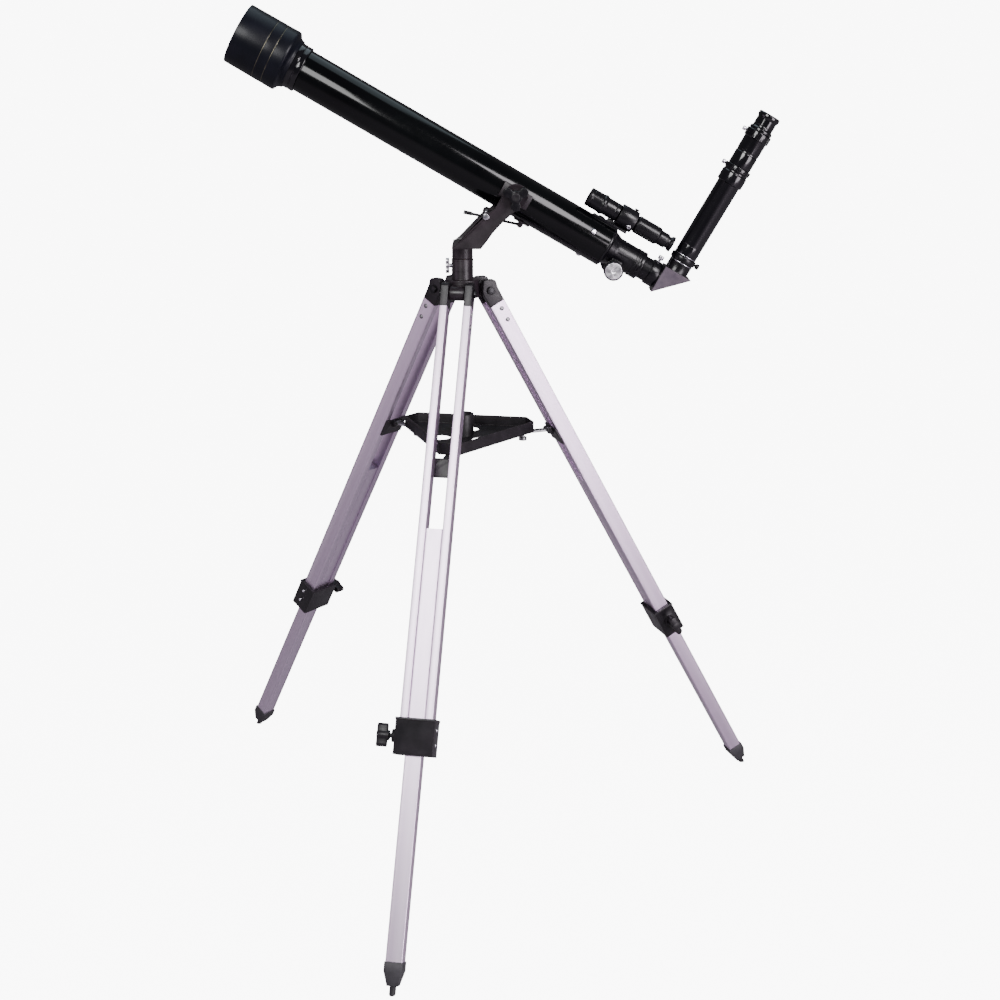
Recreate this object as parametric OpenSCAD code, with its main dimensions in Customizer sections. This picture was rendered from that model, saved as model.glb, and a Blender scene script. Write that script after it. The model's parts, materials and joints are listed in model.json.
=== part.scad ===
// Small achromatic refractor on an alt-azimuth yoke and a three-legged aluminium field tripod.
// +Z is up and the floor is z = 0. The azimuth axis is the Z axis. The tube lies in the XZ plane.
// Tube stations (s) run rearwards from the dew shield's mouth, and heights over the axis are "up".
// Leg stations (u) run down the leg from its hinge pin.

/* [Optical tube] */
// Outer diameter of the main tube
tube_od = 60; // [56:1:64]
// Wall of the main tube
tube_wall = 1.4; // [1:0.1:2]
// Height of the tube's front above level, in degrees
tube_elev = 29.7; // [10:0.1:60]
// Station of the tube's front end
tube_front_s = 93; // [90:1:94]
// Station of the tube's rear end
tube_rear_s = 588; // [585:1:592]
// Station of the altitude pivot
pivot_s = 440; // [430:1:450]
// Outer diameter of the dew shield at its mouth
shield_od = 86; // [84:1:90]
// Clear diameter of the objective
aperture = 60; // [58:1:61]

/* [Focuser and eyepiece stack] */
// Outer diameter of the sliding drawtube
drawtube_od = 34; // [33.8:0.1:34.4]
// Barrel diameter of every push-fit accessory
barrel_od = 31.75; // [31.7:0.01:31.8]
// Station of the eyepiece stack's axis
stack_s = 695.5; // [694:0.5:700]
// Distance of the pinion's axis under the tube axis
pinion_drop = 21.6; // [21.4:0.1:22]
// Outer diameter of the erector's long tube
erector_od = 33.3; // [32:0.1:34]

/* [Finder] */
// Height of the finder's axis over the tube's axis
finder_rise = 48.5; // [48:0.5:54]

/* [Yoke] */
// Distance of the altitude pivot from the azimuth axis
pivot_x = 76; // [70:1:80]
// Height of the altitude pivot above the floor
pivot_z = 978; // [970:1:990]
// Gap between the two arms
arm_gap = 67; // [66:1:72]
// Thickness of each arm
arm_t = 4; // [3:0.5:6]
// Length of the slow-motion rod
rod_len = 82; // [80:1:90]

/* [Tripod] */
// Height of the leg hinge pins above the floor
hinge_z = 841; // [800:1:860]
// Distance of the leg hinge pins from the azimuth axis
hinge_r = 35; // [34:1:38]
// Distance of the foot tips from the azimuth axis
foot_r = 498; // [440:1:540]
// Direction of the right leg, anticlockwise from +X, in degrees
leg_turn = 20; // [0:1:40]
// Width of a leg across both rails
leg_w = 45.6; // [44:0.2:50]
// Depth of a rail
rail_d = 23.6; // [22:0.2:26]
// Width of one rail
rail_w = 11; // [10:0.2:11]
// Station of the middle of the leg clamp
clamp_u = 627; // [600:1:640]
// Station of the upper end of the inner leg
inner_top_u = 343; // [330:1:360]

/* [Accessory tray] */
// Height of the tray's rim above the floor
tray_rim_z = 639; // [630:1:645]
// Depth of the tray from rim to underside
tray_h = 17; // [14:1:20]
// Distance of the tray's cut corners from the azimuth axis
tray_r = 106; // [95:1:107]
// Width of each cut corner
tray_corner_w = 30; // [24:1:34]

/* [Hidden] */
$fn = 96;
eps = 0.02;
slide_fit = 0.06;
tube_r = tube_od / 2;
draw_r = drawtube_od / 2;
barrel_r = barrel_od / 2;
erector_r = erector_od / 2;
lean = atan2(foot_r - hinge_r, hinge_z);
leg_len = norm([foot_r - hinge_r, hinge_z]);
leg_names = ["right", "left", "front"];
LEG_PARTS = ["hinge_bracket", "rails", "clamp", "clamp_knob", "inner_leg", "foot", "brace_bracket", "brace"];

// ---------------------------------------------------------------- frames and shared shapes

// Tube frame: x is the station, z is up from the tube's axis.
module on_tube() {
    translate([pivot_x, 0, pivot_z]) rotate([0, tube_elev, 0]) translate([-pivot_s, 0, 0]) children();
}

// Stack frame: z runs up the eyepiece stack from the tube's axis.
module on_stack() {
    on_tube() translate([stack_s, 0, 0]) children();
}

// Leg frame: origin on the hinge pin, x outwards, y across the leg, z up the leg.
module on_leg(i) {
    rotate([0, 0, leg_turn + 120 * i]) translate([hinge_r, 0, hinge_z]) rotate([0, -lean, 0]) children();
}

// Upright radial plane of leg i.
module on_radius(i) {
    rotate([0, 0, leg_turn + 120 * i]) children();
}

// A turned piece from [radius, station] points, its axis along x.
module turned_x(points) {
    rotate([0, 90, 0]) rotate_extrude() polygon(points);
}

// A turned piece from [radius, height] points, its axis along z.
module turned_z(points) {
    rotate_extrude() polygon(points);
}

// A round bar across the frame, its axis along y, from y0 to y1.
module bar_y(r, y0, y1) {
    translate([0, y0, 0]) rotate([-90, 0, 0]) cylinder(r = r, h = y1 - y0);
}

// A block from its two opposite corners.
module block(low, high) {
    translate(low) cube(high - low);
}

// Sag of a lens face of radius of curvature R at the height r.
function sag(R, r) = R - sqrt(R * R - r * r);

// A lens as a turned solid along x: faces of curvature front_R and back_R, negative for hollow ones.
module lens(r, s0, thick, front_R, back_R) {
    steps = 6;
    function face(R, at) = sign(R) * sag(abs(R), at);
    front = [for (k = [0:steps]) [r * k / steps, s0 + face(front_R, r * k / steps)]];
    back = [for (k = [steps:-1:0]) [r * k / steps, s0 + thick - face(back_R, r * k / steps)]];
    turned_x(concat(front, back));
}

// A small thumbscrew: its axis along z, its tip at z = 0, with a fluted head.
module thumbscrew(r, shank, head_r, head_h) {
    cylinder(r = r, h = shank + eps);
    translate([0, 0, shank]) difference() {
        cylinder(r = head_r, h = head_h);
        for (a = [0:45:315]) rotate([0, 0, a]) translate([head_r + 0.5, 0, -1]) cylinder(r = 1.1, h = head_h + 2);
    }
}

// ---------------------------------------------------------------- tripod head

head_top = 857;
collar_r = 15.5;
parting_z = 886.5;
hub_r = 24;
lug_half = 10.4;
lug_r = 10.2;
pin_r = 3;
spindle_r = 9;
spindle_foot = 850;
lock_z = 876;
lock_r = 3;

module tripod_head() {
    color("#2b2328") difference() {
        union() {
            translate([0, 0, hinge_z - lug_r]) cylinder(r = hub_r, h = head_top - hinge_z + lug_r);
            cylinder_between(collar_r, head_top - 1, parting_z);
            for (i = [0:2]) on_radius(i) {
                block([0, -lug_half, hinge_z - lug_r], [hinge_r, lug_half, hinge_z + lug_r]);
                translate([hinge_r, 0, hinge_z]) bar_y(lug_r, -lug_half, lug_half);
            }
        }
        cylinder_between(spindle_r + slide_fit, spindle_foot - 1, parting_z + 1);
        for (i = [0:2]) on_radius(i) translate([hinge_r, 0, hinge_z]) bar_y(pin_r + 0.05, -20, 20);
        translate([0, 0, lock_z]) rotate([0, -90, 0]) cylinder(r = lock_r + 0.05, h = collar_r + 5);
    }
}

module cylinder_between(r, z0, z1) {
    translate([0, 0, z0]) cylinder(r = r, h = z1 - z0);
}

bolt_half = leg_w / 2 + 0.4;
module hinge_bolts() {
    color("#8d8a90") for (i = [0:2]) on_radius(i) translate([hinge_r, 0, hinge_z]) {
        bar_y(pin_r, -bolt_half - eps, bolt_half + eps);
        bar_y(5.5, -bolt_half - 3, -bolt_half);
        translate([0, bolt_half, 0]) rotate([-90, 0, 0]) cylinder(r = 5.8, h = 4, $fn = 6);
    }
}

wing_x = -19;
module azimuth_lock_screw() {
    color("#b9b6bd") translate([0, 0, lock_z]) {
        rotate([0, -90, 0]) translate([0, 0, spindle_r + 0.3]) cylinder(r = lock_r, h = -wing_x - spindle_r);
        translate([wing_x, 0, 0]) rotate([0, -90, 0]) difference() {
            linear_extrude(5) union() {
                circle(r = 4.5);
                for (m = [-1, 1]) translate([m * 6.5, 0]) circle(r = 4.5);
            }
            for (m = [-1, 1]) translate([m * 7.5, 0, -1]) cylinder(r = 1.6, h = 7);
        }
    }
}

// ---------------------------------------------------------------- legs

rail_in = leg_w / 2 - rail_w;
rail_wall = 1.4;
rail_top_u = 22;
rail_end_u = 628;
plug_u = 58;
cheek_t = rail_w;
clamp_half = 25;
clamp_w = 54;
clamp_d = 33;
inner_half = rail_in - 0.35;
inner_d = 21.6;
inner_end_u = leg_len - 42;

// Both cheeks and the plugs that fill the rails' tops.
module hinge_bracket(i) {
    color("#2b2328") on_leg(i) difference() {
        union() {
            for (m = [-1, 1]) {
                y0 = m > 0 ? leg_w / 2 - cheek_t : -leg_w / 2;
                translate([0, y0, 0]) cheek();
                plug_y = m * (leg_w / 2 - rail_w / 2);
                plug_half = rail_w / 2 - rail_wall - 0.05;
                plug_d = rail_d / 2 - rail_wall - 0.05;
                block([-plug_d, plug_y - plug_half, -plug_u], [plug_d, plug_y + plug_half, -rail_top_u + 1]);
            }
        }
        bar_y(pin_r + 0.05, -leg_w, leg_w);
    }
}

// One cheek: round under the pin, with a flat crown that stays level over it.
crown_r = 5;
crown_rise = 10.5;
module cheek() {
    hull() {
        bar_y(rail_d / 2, 0, cheek_t);
        rotate([0, lean, 0]) for (x = [-6, 4]) translate([x, 0, crown_rise]) bar_y(crown_r, 0, cheek_t);
    }
    block([-rail_d / 2, 0, -rail_top_u + 0.1], [rail_d / 2, cheek_t, 0]);
}

module rails(i) {
    color("#c9c4cf") on_leg(i) for (m = [-1, 1]) {
        y0 = m > 0 ? leg_w / 2 - rail_w : -leg_w / 2;
        difference() {
            block([-rail_d / 2, y0, -rail_end_u], [rail_d / 2, y0 + rail_w, -rail_top_u]);
            block([-rail_d / 2 + rail_wall, y0 + rail_wall, -rail_end_u - 1],
                  [rail_d / 2 - rail_wall, y0 + rail_w - rail_wall, -rail_top_u + 1]);
        }
    }
}

// Collar that ends the rails and lets the inner leg through.
module clamp(i) {
    color("#231d22") on_leg(i) difference() {
        union() {
            block([-clamp_d / 2, -clamp_w / 2, -clamp_u - clamp_half], [clamp_d / 2, clamp_w / 2, -clamp_u + clamp_half]);
            translate([0, 0, -clamp_u]) bar_y(9, -clamp_w / 2 - 6, 0);
        }
        block([-rail_d / 2 - 0.05, -leg_w / 2 - 0.05, -rail_end_u - 0.1],
              [rail_d / 2 + 0.05, leg_w / 2 + 0.05, -clamp_u + clamp_half + 1]);
        block([-inner_d / 2 - 0.25, -inner_half - 0.25, -clamp_u - clamp_half - 1],
              [inner_d / 2 + 0.25, inner_half + 0.25, 0]);
        translate([0, 0, -clamp_u]) bar_y(3.06, -clamp_w, -leg_w / 2 + 1);
    }
}

// Flat-winged clamp knob on its screw; the paddle's long way is turned per leg.
knob_turn = [0, 90, 0];
module clamp_knob(i) {
    color("#1c181c") on_leg(i) translate([0, 0, -clamp_u]) {
        bar_y(3, -clamp_w / 2 - 12, -leg_w / 2 - 0.4);
        rotate([0, knob_turn[i], 0]) {
            bar_y(7, -clamp_w / 2 - 27, -clamp_w / 2 - 10);
            translate([0, -clamp_w / 2 - 27, 0]) rotate([-90, 0, 0]) linear_extrude(14) union() {
                for (m = [-1, 1]) translate([0, m * 11]) circle(r = 5);
                translate([-5, -11]) square([10, 22]);
            }
        }
    }
}

module inner_leg(i) {
    color("#cfcad4") on_leg(i) difference() {
        block([-inner_d / 2, -inner_half, -inner_end_u], [inner_d / 2, inner_half, -inner_top_u]);
        block([-inner_d / 2 + rail_wall, -inner_half + rail_wall, -inner_end_u - 1],
              [inner_d / 2 - rail_wall, inner_half - rail_wall, -inner_top_u + 1]);
    }
}

// Foot cap with its steel pin, cut level with the floor.
module foot(i) {
    plug = inner_d / 2 - rail_wall - 0.05;
    plug_y = inner_half - rail_wall - 0.05;
    color("#17161a") intersection() {
        on_leg(i) union() {
            block([-plug, -plug_y, -inner_end_u - 1], [plug, plug_y, -inner_end_u + 30]);
            hull() {
                block([-12.5, -12.5, -inner_end_u - 12], [12.5, 12.5, -inner_end_u - 0.1]);
                block([-7.5, -7.5, -inner_end_u - 31], [7.5, 7.5, -inner_end_u - 29]);
            }
            translate([0, 0, -leg_len - 8]) cylinder(r = 4.5, h = 30);
        }
        block([-700, -700, 0], [700, 700, 300]);
    }
}

// ---------------------------------------------------------------- braces and tray

brace_z = tray_rim_z - tray_h - 1.9;
brace_pin_r = 2;
brace_t = 3;
brace_standoff = 8;
leg_in = rail_d / 2 + 0.1;
brace_pivot_r = hinge_r + (hinge_z - brace_z) * tan(lean) - leg_in / cos(lean) - brace_standoff;
screw_r = tray_r - 12;

// Fork that carries a brace on the leg's inner side: a back plate on both rails and two ears.
module brace_bracket(i) {
    pivot_d = hinge_r - brace_pivot_r;
    color("#231d22") union() {
        on_leg(i) translate([0, 0, -(hinge_z - brace_z) / cos(lean)])
            block([-leg_in - 2.5, -leg_w / 2 + 1, -14], [-leg_in, leg_w / 2 - 1, 14]);
        on_radius(i) translate([brace_pivot_r, 0, brace_z]) {
            for (m = [-1, 1]) {
                y0 = m > 0 ? 6.3 : -9.3;
                bar_y(5, y0, y0 + 3);
                block([0, y0, -5], [6, y0 + 3, 5]);
            }
            bar_y(brace_pin_r, -9, 9);
        }
    }
}

// Brace bar with the captive thumbscrew that holds the tray's corner.
module brace(i) {
    color("#2b2328") on_radius(i) {
        difference() {
            union() {
                translate([brace_pivot_r, 0, brace_z]) bar_y(3.9, -6, 6);
                block([screw_r - 8, -6, brace_z - brace_t / 2], [brace_pivot_r, 6, brace_z + brace_t / 2]);
            }
            translate([brace_pivot_r, 0, brace_z]) bar_y(brace_pin_r + 0.06, -7, 7);
            translate([screw_r, 0, brace_z - 5]) cylinder(r = 2.55, h = 10);
        }
        translate([screw_r, 0, brace_z - 12.6]) {
            cylinder(r = 2.5, h = 12.6 + brace_t / 2);
            cylinder(r = 6, h = 5);
        }
    }
}

tray_floor_z = tray_rim_z - tray_h;
tray_wall = 2.5;
socket_r = 16;
function tray_outline(r, half_w) = [for (i = [0:2]) for (m = [-1, 1]) let (a = leg_turn + 120 * i)
    [r * cos(a) - m * half_w * sin(a), r * sin(a) + m * half_w * cos(a)]];

module accessory_tray() {
    color("#231d22") difference() {
        union() {
            difference() {
                translate([0, 0, tray_floor_z]) linear_extrude(tray_h)
                    polygon(tray_outline(tray_r, tray_corner_w / 2));
                translate([0, 0, tray_floor_z + 2.5]) linear_extrude(tray_h)
                    polygon(tray_outline(tray_r - tray_wall, tray_corner_w / 2 - tray_wall * 0.58));
            }
            cylinder_between(15, tray_floor_z + 0.5, tray_rim_z + 18);
        }
        cylinder_between(11.5, tray_floor_z + 3, tray_rim_z + 19);
        for (a = [0, 120, 240]) rotate([0, 0, leg_turn + 60 + a]) translate([37, 0, 0])
            cylinder_between(socket_r, tray_floor_z - 1, tray_floor_z + 4);
    }
}

// ---------------------------------------------------------------- yoke

neck_r = 15;
yoke_base_z = 904.4;
yoke_base_t = 4;
yoke_base_x = [-14, 27];
arm_in = arm_gap / 2;
arm_out = arm_in + arm_t;
swivel_x = 34.4;
swivel_z = 945;
swivel_pin_z = 950;
swivel_pin_r = 2.5;
knob_shank_r = 4;

module arm_outline() {
    union() {
        polygon([
            [yoke_base_x[0], yoke_base_z], [yoke_base_x[1], yoke_base_z], [34, 913], [44.5, 927.5],
            [59.5, 943.5], [81, 962], [93, 976], [61, 986], [47, 961], [27, 944.5], [11.8, 930.5],
            [-2, 916], [yoke_base_x[0], yoke_base_z + 2]
        ]);
        translate([swivel_x, swivel_pin_z]) circle(r = 5.5);
        translate([pivot_x, pivot_z]) circle(r = 17);
    }
}

module yoke() {
    color("#3a2f3a") difference() {
        union() {
            cylinder_between(neck_r, parting_z + 0.4, yoke_base_z + 1);
            block([yoke_base_x[0], -arm_out, yoke_base_z], [yoke_base_x[1], arm_out, yoke_base_z + yoke_base_t]);
            for (y = [-arm_in, arm_out]) translate([0, y, 0]) rotate([90, 0, 0])
                linear_extrude(arm_t) arm_outline();
        }
        cylinder_between(spindle_r + 0.05, parting_z - 1, yoke_base_z - 3);
        translate([pivot_x, 0, pivot_z]) bar_y(knob_shank_r + 0.08, -arm_out - 1, arm_out + 1);
        translate([swivel_x, 0, swivel_pin_z]) bar_y(swivel_pin_r + 0.05, -arm_out - 1, arm_out + 1);
    }
}

module azimuth_spindle() {
    color("#b08d4a") cylinder_between(spindle_r, spindle_foot, yoke_base_z - 3.1);
}

// Eye that guides the slow-motion rod, on a cross pin held by a bolt head outside each arm.
rod_point = [27, -35];
bracket_x = pivot_x + rod_point[0] * cos(tube_elev) + rod_point[1] * sin(tube_elev);
bracket_z = pivot_z - rod_point[0] * sin(tube_elev) + rod_point[1] * cos(tube_elev);
rod_rise = atan2(swivel_z - bracket_z, bracket_x - swivel_x);
rod_r = 2;
module rod_swivel() {
    color("#8d8a90") difference() {
        union() {
            translate([swivel_x, 0, swivel_z]) rotate([0, 90 + rod_rise, 0]) cylinder(r = 7, h = 6, center = true);
            translate([swivel_x, 0, swivel_pin_z]) {
                bar_y(swivel_pin_r, -arm_out - 0.3, -5.3);
                bar_y(swivel_pin_r, 5.3, arm_out + 0.3);
                bar_y(4.3, -arm_out - 3.2, -arm_out - 0.2);
                bar_y(4.3, arm_out + 0.2, arm_out + 2.2);
            }
        }
        translate([swivel_x, 0, swivel_z]) rotate([0, 90 + rod_rise, 0]) cylinder(r = 5, h = 40, center = true);
    }
}

// Three-lobed altitude knob; side -1 is the near one.
module altitude_knob(side) {
    color("#2b2530") translate([pivot_x, 0, pivot_z]) rotate([0, 0, side > 0 ? 0 : 180]) {
        bar_y(knob_shank_r, tube_r + 0.6, arm_out + 1);
        translate([0, arm_out + 0.4, 0]) rotate([-90, 0, 0]) {
            cylinder(r = 9, h = 6);
            translate([0, 0, 4]) linear_extrude(11) union() {
                circle(r = 9);
                for (a = [90, 210, 330]) rotate(a) translate([12.5, 0]) circle(r = 6.8);
            }
        }
    }
}

module slow_motion_rod() {
    color("#17161a") translate([bracket_x, 0, bracket_z]) difference() {
        union() {
            bar_y(4.2, -2.7, 2.7);
            rotate([0, rod_rise - 90, 0]) cylinder(r = rod_r, h = rod_len);
            rotate([0, rod_rise - 90, 0]) translate([0, 0, rod_len - 12]) cylinder(r = rod_r + 0.8, h = 12);
        }
        bar_y(2.06, -4, 4);
    }
}

// ---------------------------------------------------------------- optical tube

shield_r = shield_od / 2;
cell_r = 32.7;
lens_r = aperture / 2 + 0.2;

module main_tube() {
    color("#0d0e11") on_tube() turned_x([
        [tube_r - tube_wall, tube_front_s], [tube_r, tube_front_s], [tube_r, tube_rear_s],
        [tube_r - tube_wall, tube_rear_s]
    ]);
}

module altitude_bosses() {
    color("#2b2530") on_tube() difference() {
        for (m = [-1, 1]) {
            y0 = m > 0 ? tube_r - 8 : -arm_in + 0.35;
            y1 = m > 0 ? arm_in - 0.35 : -tube_r + 8;
            translate([pivot_s, 0, 0]) bar_y(11, y0, y1);
            block([pivot_s - 22, min(m * 20, m * 31.5), -11], [pivot_s + 22, max(m * 20, m * 31.5), 11]);
        }
        turned_x([[0, 300], [tube_r + 0.03, 300], [tube_r + 0.03, 600], [0, 600]]);
        translate([pivot_s, 0, 0]) bar_y(knob_shank_r + 0.08, -40, 40);
    }
}

module dew_shield() {
    color("#15161c") on_tube() turned_x([
        [shield_r - 1.8, 0], [shield_r - 0.4, 0], [shield_r, 0.6], [shield_r, 20], [shield_r + 0.7, 73],
        [shield_r + 0.2, 75.5], [shield_r - 2, 77], [shield_r - 5.5, 79], [shield_r - 7.5, 81.5],
        [shield_r - 8.5, 85], [cell_r + 0.05, 85], [cell_r + 0.05, 77.5], [shield_r - 4.5, 75],
        [shield_r - 1.8, 72]
    ]);
}

module objective_cell() {
    color("#101114") on_tube() turned_x([
        [lens_r + 0.05, 77.8], [cell_r, 77.8], [cell_r, 100], [tube_r + 0.05, 100], [tube_r + 0.05, tube_front_s - 0.1],
        [lens_r - 1.5, tube_front_s - 0.1], [lens_r - 1.5, tube_front_s - 1.6], [lens_r + 0.05, tube_front_s - 1.6]
    ]);
}

// Crown and flint elements, air spaced.
module objective_lenses() {
    color("#9fc7b8") on_tube() {
        lens(lens_r, 79.5, 6, 430, 355);
        lens(lens_r, 87, 4.2, -350, 1500);
    }
}

module rod_bracket() {
    color("#2b2328") on_tube() difference() {
        union() {
            translate([pivot_s + rod_point[0], 0, rod_point[1]]) {
                for (y = [-5.6, 3]) {
                    bar_y(4, y, y + 2.6);
                    block([-4, y, 0], [4, y + 2.6, 6]);
                }
                bar_y(2, -5, 5);
            }
            block([pivot_s + 15, -8, -tube_r - 1.6], [pivot_s + 39, -3, -tube_r + 2]);
            block([pivot_s + 15, 3, -tube_r - 1.6], [pivot_s + 39, 8, -tube_r + 2]);
        }
        turned_x([[0, 300], [tube_r + 0.03, 300], [tube_r + 0.03, 600], [0, 600]]);
    }
}

// ---------------------------------------------------------------- focuser

pinion_s = 612;
focuser_end = 648;
focuser_r = 20;
gear_module = 0.8;
gear_teeth = 10;
pitch_r = gear_module * gear_teeth / 2;
pitch_drop = pinion_drop - pitch_r;
tooth_pitch = PI * gear_module;
plug_front = 552;
screw_s = 561;

module focuser_body() {
    color("#17171c") on_tube() difference() {
        union() {
            turned_x([
                [draw_r + slide_fit, plug_front], [tube_r - tube_wall - 0.05, plug_front],
                [tube_r - tube_wall - 0.05, tube_rear_s + 0.1], [tube_r, tube_rear_s + 0.1],
                [tube_r, tube_rear_s + 3], [25, tube_rear_s + 6], [22, 601], [focuser_r + 0.6, 604],
                [focuser_r, focuser_end - 6], [focuser_r + 0.8, focuser_end - 5], [focuser_r + 0.8, focuser_end - 1],
                [focuser_r, focuser_end], [draw_r + slide_fit, focuser_end]
            ]);
            translate([pinion_s, 0, -pinion_drop]) bar_y(7.5, -21, 21);
            block([pinion_s - 7.5, -21, -pinion_drop], [pinion_s + 7.5, 21, -8]);
        }
        turned_x([[0, plug_front - 1], [draw_r + slide_fit, plug_front - 1],
            [draw_r + slide_fit, focuser_end + 1], [0, focuser_end + 1]]);
        turned_x([[0, plug_front - 1], [25, plug_front - 1], [25, tube_rear_s - 5], [0, tube_rear_s - 5]]);
        translate([pinion_s, 0, -pinion_drop]) bar_y(2.56, -30, 30);
        translate([pinion_s, 0, -pinion_drop]) bar_y(5.1, -4.2, 4.2);
        block([plug_front - 1, -3.3, -pitch_drop - 1.3], [focuser_end + 1, 3.3, 0]);
    }
}

module focuser_screws() {
    color("#c9c6cc") on_tube() for (a = [68, 188, 308]) rotate([a, 0, 0])
        translate([screw_s, 0, tube_r + 0.05]) turned_z([[0, 0], [4, 0], [4, 0.8], [2.6, 2.2], [0, 2.6]]);
}

// One rack tooth: its half widths at tip and root, and its height.
module tooth(half_tip, half_root, height) {
    polygon([[-half_root, 0], [half_root, 0], [half_tip, height], [-half_tip, height]]);
}

rack_front = 546;
rack_teeth = 32;
module drawtube() {
    color("#232228") on_tube() difference() {
        union() {
            turned_x([
                [barrel_r + 0.5, rack_front - 2], [draw_r, rack_front - 2], [draw_r, 660], [draw_r + 2, 661],
                [draw_r + 2, 672], [draw_r + 1, 674.5], [barrel_r + 0.05, 674.5], [barrel_r + 0.05, 649],
                [barrel_r + 0.5, 648]
            ]);
            block([rack_front - 2, -3, -pitch_drop + 1], [rack_front + rack_teeth * tooth_pitch, 3, -draw_r + 0.9]);
            for (k = [0:rack_teeth - 1])
                translate([pinion_s + (k - 25.5) * tooth_pitch, 3, -pitch_drop + 1.05]) rotate([90, 0, 0])
                    mirror([0, 1]) linear_extrude(6) tooth(0.3, 0.95, 1.65);
        }
        translate([667, 0, barrel_r - 1]) cylinder(r = 2.06, h = 10);
    }
}

module drawtube_thumbscrew() {
    color("#2b2530") on_tube() translate([667, 0, barrel_r + 0.2]) thumbscrew(2, 5.5, 4.2, 6);
}

knob_in = 24;
knob_out = 42;
module pinion_shaft() {
    color("#b08d4a") on_tube() translate([pinion_s, 0, -pinion_drop]) {
        bar_y(2.5, -knob_out + 3, knob_out - 3);
        translate([0, 3, 0]) rotate([90, 0, 0]) linear_extrude(6) union() {
            circle(r = pitch_r - 1);
            for (k = [0:gear_teeth - 1]) rotate(90 + k * 360 / gear_teeth) translate([pitch_r - 1.2, 0])
                polygon([[0, -0.9], [0, 0.9], [1.8, 0.28], [1.8, -0.28]]);
        }
    }
}

module focus_knobs() {
    color("#1c1b20") on_tube() translate([pinion_s, 0, -pinion_drop]) for (a = [0, 180]) rotate([0, 0, a])
        translate([0, knob_in, 0]) rotate([-90, 0, 0]) difference() {
            turned_z([[0, 0], [8, 0], [8, 4], [13.6, 5], [14, 6], [14, knob_out - knob_in - 1],
                [13, knob_out - knob_in], [0, knob_out - knob_in]]);
            translate([0, 0, -1]) cylinder(r = 2.55, h = knob_out - knob_in - 2 + 0.1);
        }
}

// ---------------------------------------------------------------- prism diagonal

diag_s = 676.5;
diag_top = 19;
diag_leg = 42;
diag_half = 18;
prism_leg = 32;
socket_top = 43;

module right_triangle(s, top, leg) {
    polygon([[s, top], [s + leg, top], [s, top - leg]]);
}

module diagonal_housing() {
    color("#1b1a20") on_tube() difference() {
        union() {
            translate([0, diag_half, 0]) rotate([90, 0, 0]) linear_extrude(2 * diag_half)
                right_triangle(diag_s, diag_top, diag_leg);
            turned_x([[0, 651], [barrel_r, 651], [barrel_r, 675], [draw_r + 1, 675], [draw_r + 1, diag_s + 1],
                [0, diag_s + 1]]);
            translate([stack_s, 0, 0]) turned_z([[0, diag_top - 1], [17.2, diag_top - 1], [17.2, 35], [19, 35.5],
                [19, socket_top - 0.5], [18.5, socket_top], [0, socket_top]]);
        }
        translate([0, diag_half + 1, 0]) rotate([90, 0, 0]) linear_extrude(2 * diag_half + 2)
            right_triangle(diag_s + 2.9, diag_top - 2.9, prism_leg + 0.3);
        turned_x([[0, 650], [13, 650], [13, diag_s + 4], [0, diag_s + 4]]);
        translate([stack_s, 0, 0]) turned_z([[0, 0], [13, 0], [13, 20], [barrel_r + 0.05, 20],
            [barrel_r + 0.05, socket_top + 1], [0, socket_top + 1]]);
        translate([stack_s, 0, 39]) rotate([0, 90, 0]) cylinder(r = 2.06, h = 40);
    }
}

module diagonal_side_plates() {
    color("#6d6272") on_tube() for (y = [-diag_half, diag_half + 1.6]) translate([0, y, 0])
        rotate([90, 0, 0]) linear_extrude(1.5) right_triangle(diag_s, diag_top, diag_leg);
}

module diagonal_prism() {
    color("#bcd4dd") on_tube() translate([0, 17, 0]) rotate([90, 0, 0]) linear_extrude(34)
        right_triangle(diag_s + 3, diag_top - 3, prism_leg);
}

module diagonal_thumbscrew() {
    color("#2b2530") on_stack() translate([barrel_r + 0.2, 0, 39]) rotate([0, 90, 0]) thumbscrew(2, 4.5, 4, 5);
}

// ---------------------------------------------------------------- erector, Barlow and eyepiece

erector_end = 188;
barlow_base = 189;
barlow_end = 243;
eyepiece_base = 244;
eyepiece_end = 270.5;

module erector_tube() {
    color("#0f0f13") on_stack() {
        turned_z([
            [13.5, 21], [barrel_r, 21], [barrel_r, socket_top + 0.3], [erector_r, socket_top + 0.3], [erector_r, 161],
            [19, 162], [19, 178], [17.8, 179], [17.8, 181], [19.4, 182], [19.4, erector_end - 0.5],
            [19, erector_end], [barrel_r + 0.05, erector_end], [barrel_r + 0.05, 158], [14.5, 157], [14.5, 60],
            [13.5, 58]
        ]);
        translate([-19, 0, 184.8]) rotate([0, -90, 0]) thumbscrew(2, 1.5, 4, 5);
    }
}

module erector_lens() {
    color("#bcd4dd") on_stack() rotate([0, -90, 0]) {
        lens(14.4, 66, 4, 90, 90);
        lens(14.4, 128, 4, 90, 90);
    }
}

module barlow_body() {
    color("#121217") on_stack() {
        turned_z([
            [12.5, 160], [barrel_r, 160], [barrel_r, erector_end + 0.4], [16.8, barlow_base - 0.4], [16.8, 208],
            [16.2, 209], [16.2, 211], [16.8, 212], [16.8, 231], [18.6, 232], [18.6, barlow_end - 1],
            [18, barlow_end], [barrel_r + 0.05, barlow_end], [barrel_r + 0.05, 216], [12.5, 214]
        ]);
        translate([-18, 0, 237.5]) rotate([0, -90, 0]) thumbscrew(2, 1.8, 4, 5);
    }
}

module barlow_lens() {
    color("#bcd4dd") on_stack() rotate([0, -90, 0]) lens(12.4, 166, 3.6, -60, -60);
}

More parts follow.
